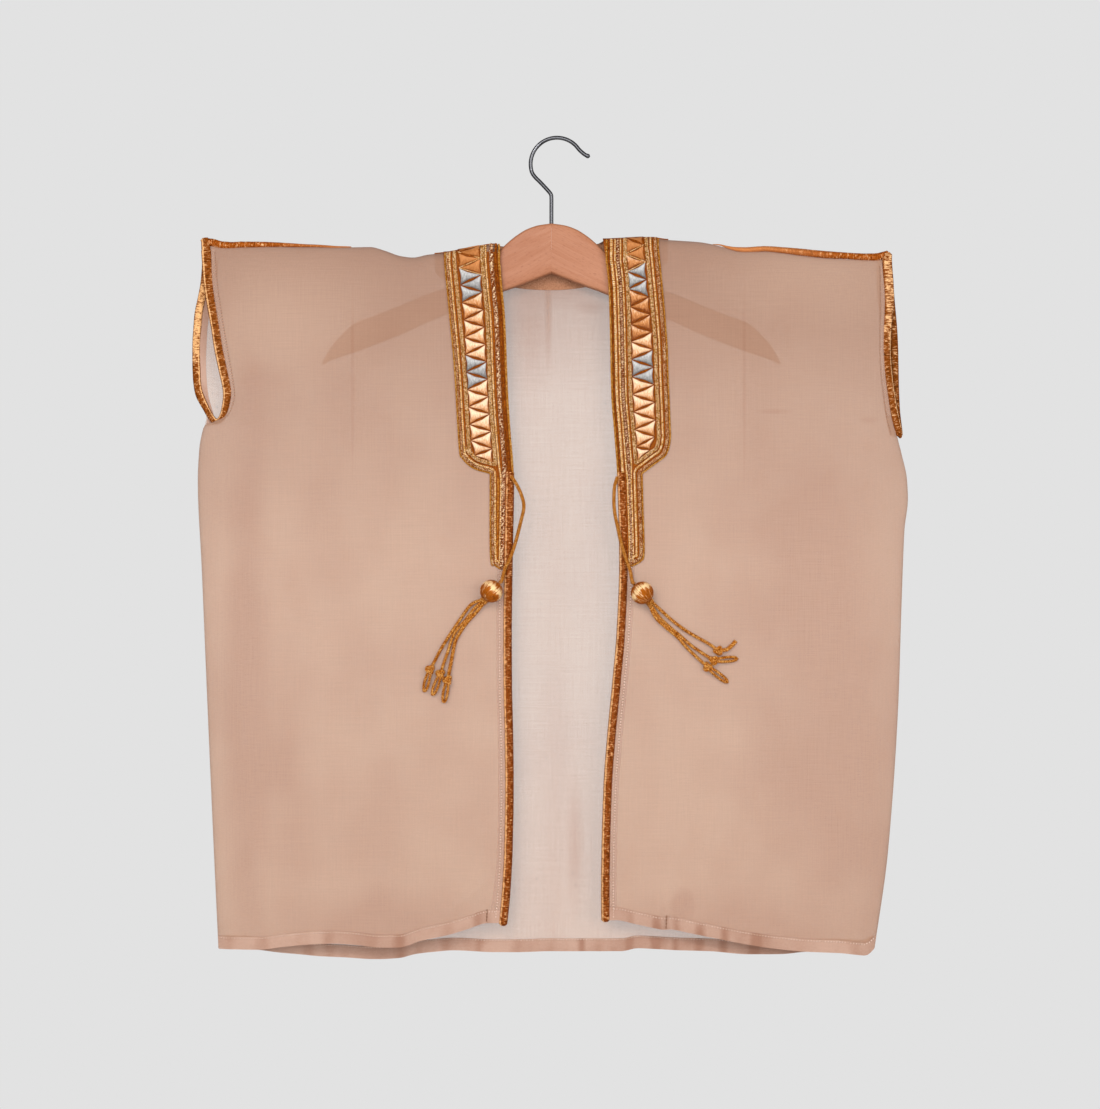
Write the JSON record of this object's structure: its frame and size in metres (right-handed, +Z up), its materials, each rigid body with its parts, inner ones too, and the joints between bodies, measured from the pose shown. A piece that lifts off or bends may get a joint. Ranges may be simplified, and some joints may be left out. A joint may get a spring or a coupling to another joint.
{
  "type": "child's bisht cloak on a hanger",
  "caption": "Open-fronted sheer bisht cloak with gold braid, gold piping, tie cords with beads and tassels, hung on a small wooden hanger.",
  "frame": {"origin": "the underside of the hook's top, where a rail or peg carries the hanger", "axes": "+Z up, -Y is the front of the cloak, +X to the right as seen from the front"},
  "size_m": [0.4981, 0.0351, 0.5758],
  "materials": {
    "voile": "sheer plain weave, matt",
    "braid": "metallic gold and silver thread embroidery",
    "gold_cord": "satin wound metallic thread",
    "binding": "ribbed gold thread binding",
    "hanger_wood": "satin varnish",
    "hook_steel": "polished wire"
  },
  "bodies": {
    "root": {"back": "voile", "front_left": "voile", "front_right": "voile", "braid_left": "braid", "braid_right": "braid", "braid_back": "braid", "edge_cord_left": "gold_cord", "edge_cord_right": "gold_cord", "shoulder_cord_left": "gold_cord", "shoulder_cord_right": "gold_cord", "cuff_left": "binding", "cuff_right": "binding", "tie_cord_left": "gold_cord", "tie_cord_right": "gold_cord", "bead_left": "gold_cord", "bead_right": "gold_cord", "tassel_left": "gold_cord", "tassel_right": "gold_cord", "hanger_left": "hanger_wood", "hanger_right": "hanger_wood", "hanger_hook": "hook_steel"}
  },
  "joints": []
}
